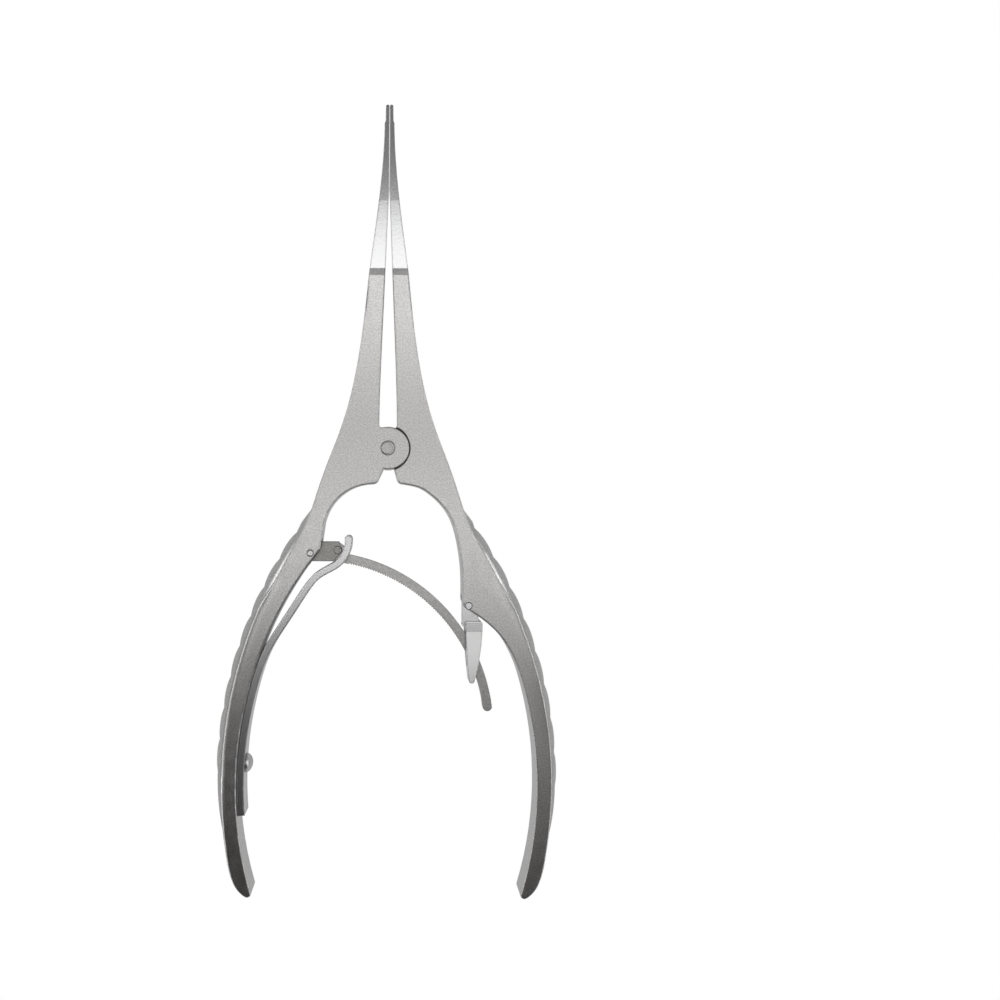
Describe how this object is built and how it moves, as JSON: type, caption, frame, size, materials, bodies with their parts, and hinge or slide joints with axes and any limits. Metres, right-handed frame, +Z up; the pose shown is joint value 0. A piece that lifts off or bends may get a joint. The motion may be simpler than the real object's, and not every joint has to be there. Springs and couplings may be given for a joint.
{
  "type": "bone spreader",
  "caption": "Lap-jointed steel bone spreader with long slim jaws, crowned wave-grip handles, a toothed ratchet bar, a forked leaf spring and a thumb release lever.",
  "frame": {"origin": "on the main pivot's axis, in the plane of the rear faces, which it lies on", "axes": "+X to the right arm, +Y towards the jaw tips, +Z up from the rest plane, along the pivot pin"},
  "size_m": [0.0993, 0.2302, 0.01],
  "materials": {
    "satin_steel": "fine bead-blasted satin",
    "dull_steel": "darker satin",
    "polished_steel": "polished"
  },
  "bodies": {
    "left_arm": {"left_arm": "satin_steel", "pivot_pin": "satin_steel", "head_pin": "polished_steel", "leaf_spring": "polished_steel", "spring_screw": "polished_steel"},
    "right_arm": {"right_arm": "satin_steel", "lever_pin": "polished_steel", "lever_spring": "polished_steel"},
    "ratchet_bar": {"ratchet_head": "dull_steel", "ratchet_bar": "dull_steel", "bar_rivet": "dull_steel"},
    "release_lever": {"release_lever": "polished_steel"}
  },
  "joints": [
    {"name": "handle_squeeze", "type": "hinge", "parent": "left_arm", "child": "right_arm", "pos_m": [0, 0, 0], "axis": [0, 0, -1], "range_deg": [0, 20], "stiffness_Nm_per_rad": 0.5},
    {"name": "bar_swing", "type": "hinge", "parent": "left_arm", "child": "ratchet_bar", "pos_m": [-0.0223, -0.0305, 0], "axis": [0, 0, -1], "range_deg": [0, 31], "deforming": ["leaf_spring"]},
    {"name": "lever_pull", "type": "hinge", "parent": "right_arm", "child": "release_lever", "pos_m": [0.0236, -0.0456, 0], "axis": [0, 0, -1], "range_deg": [0, 6], "stiffness_Nm_per_rad": 0.02, "deforming": ["lever_spring"]}
  ],
  "couplings": [
    {"joint": "bar_swing", "follows": "handle_squeeze", "ratio": 1.53}
  ]
}
